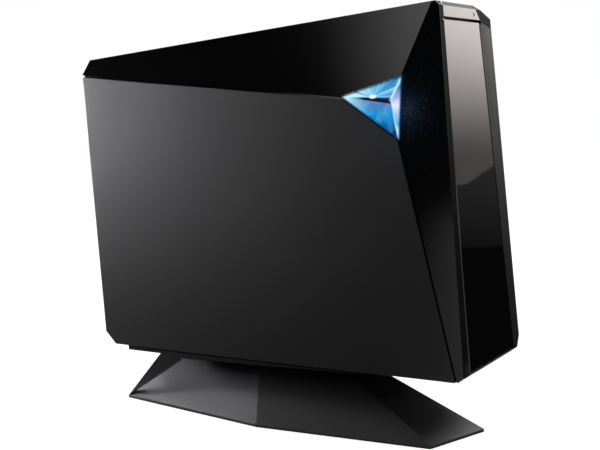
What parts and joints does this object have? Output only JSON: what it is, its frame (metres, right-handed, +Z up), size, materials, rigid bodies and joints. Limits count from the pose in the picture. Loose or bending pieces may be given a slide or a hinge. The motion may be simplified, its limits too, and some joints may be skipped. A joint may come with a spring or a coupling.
{
  "type": "external optical disc drive",
  "caption": "External disc drive on edge in a faceted black casing with satin side panels, clear corner key, tall front door on the disc tray, and a faceted stand",
  "frame": {"origin": "on the floor under the middle of the object", "axes": "+Z up, the tray comes out towards -Y, the crystal key is on the -X side"},
  "size_m": [0.077, 0.232, 0.197],
  "materials": {
    "casing": "polished black",
    "side_panel": "satin dark grey",
    "door": "mirror grey lacquer",
    "bezel": "dark grey gloss",
    "crystal": "clear faceted, lit blue",
    "lamp": "frosted light pipe",
    "stand": "polished black",
    "steel": "plated sheet",
    "screw": "dark plated",
    "rubber": "black rubber",
    "board": "green solder mask",
    "lead": "flat film lead",
    "socket": "plated shell",
    "tray": "black moulded",
    "gear": "natural white",
    "spindle": "satin",
    "lens": "coated lens"
  },
  "bodies": {
    "housing": {"ballast_plate": "steel", "board_screws": "screw", "bridge_board": "board", "bridge_screws": "screw", "casing_left": "casing", "casing_right": "casing", "casing_screws": "screw", "clamp_bridge": "steel", "cradle": "stand", "dc_jack": "socket", "drive_belt": "rubber", "drive_board": "board", "drive_chassis": "steel", "drive_cover": "steel", "drive_screws": "screw", "front_bezel": "bezel", "key_board": "board", "key_frame": "tray", "key_lead": "lead", "lamp_pipe": "lamp", "loader_frame": "tray", "loading_motor": "steel", "rear_panel": "casing", "side_panel_left": "side_panel", "side_panel_right": "side_panel", "stand_base": "stand", "stand_feet": "rubber", "stand_screws": "screw", "top_strip": "door", "usb_socket": "socket"},
    "tray": {"disc_tray": "tray", "door_panel": "door", "door_carrier": "tray"},
    "pinion": {"tray_pinion": "gear"},
    "drive_pulley": {"pulley_gear": "gear"},
    "motor_shaft": {"motor_pulley": "gear"},
    "traverse": {"traverse_frame": "tray", "guide_rods": "steel", "sled_motor": "steel", "spindle_motor": "spindle"},
    "platter": {"turntable": "spindle"},
    "clamp": {"clamp_puck": "gear"},
    "pickup": {"pickup_sled": "tray", "objective_lens": "lens"},
    "screw": {"lead_screw": "steel"},
    "cam": {"cam_slider": "tray"},
    "key": {"eject_key": "crystal"}
  },
  "joints": [
    {"name": "tray_slide", "type": "slide", "parent": "housing", "child": "tray", "axis": [0, -1, 0], "range_m": [0, 0.136]},
    {"name": "pinion_turn", "type": "hinge", "parent": "housing", "child": "pinion", "pos_m": [-0.00335, -0.092, 0.1525], "axis": [-1, 0, 0], "range_deg": [0, 1114]},
    {"name": "pulley_turn", "type": "hinge", "parent": "housing", "child": "drive_pulley", "pos_m": [0.00265, -0.09521, 0.13601], "axis": [-1, 0, 0], "range_deg": [-2784, 0]},
    {"name": "motor_turn", "type": "hinge", "parent": "housing", "child": "motor_shaft", "pos_m": [0.00365, -0.09521, 0.0945], "axis": [-1, 0, 0], "range_deg": [-10672, 0]},
    {"name": "traverse_tilt", "type": "hinge", "parent": "housing", "child": "traverse", "pos_m": [0.00365, 0.046, 0.1145], "axis": [0, 0, 1], "range_deg": [0, 3.5]},
    {"name": "cam_slide", "type": "slide", "parent": "housing", "child": "cam", "axis": [0, 0, 1], "range_m": [0, 0.02]},
    {"name": "platter_spin", "type": "hinge", "parent": "traverse", "child": "platter", "pos_m": [-0.00935, -0.042, 0.1145], "axis": [-1, 0, 0], "continuous": true},
    {"name": "clamp_spin", "type": "hinge", "parent": "housing", "child": "clamp", "pos_m": [-0.01635, -0.042, 0.1145], "axis": [-1, 0, 0], "continuous": true},
    {"name": "pickup_slide", "type": "slide", "parent": "traverse", "child": "pickup", "axis": [0, 1, 0], "range_m": [0, 0.033]},
    {"name": "screw_turn", "type": "hinge", "parent": "traverse", "child": "screw", "pos_m": [0.00315, -0.01, 0.1455], "axis": [0, 1, 0], "range_deg": [0, 3962]},
    {"name": "key_press", "type": "slide", "parent": "housing", "child": "key", "axis": [1, 0, 0], "range_m": [0, 0.0008], "stiffness_N_per_m": 1500, "springref_m": -0.0002}
  ],
  "couplings": [
    {"joint": "pinion_turn", "follows": "tray_slide", "rad_per_m": 142.86},
    {"joint": "pulley_turn", "follows": "tray_slide", "rad_per_m": -357.14},
    {"joint": "motor_turn", "follows": "tray_slide", "rad_per_m": -1369},
    {"joint": "cam_slide", "follows": "traverse_tilt", "m_per_rad": 0.3274},
    {"joint": "clamp_spin", "follows": "platter_spin", "ratio": 1},
    {"joint": "screw_turn", "follows": "pickup_slide", "rad_per_m": 2094.4}
  ]
}
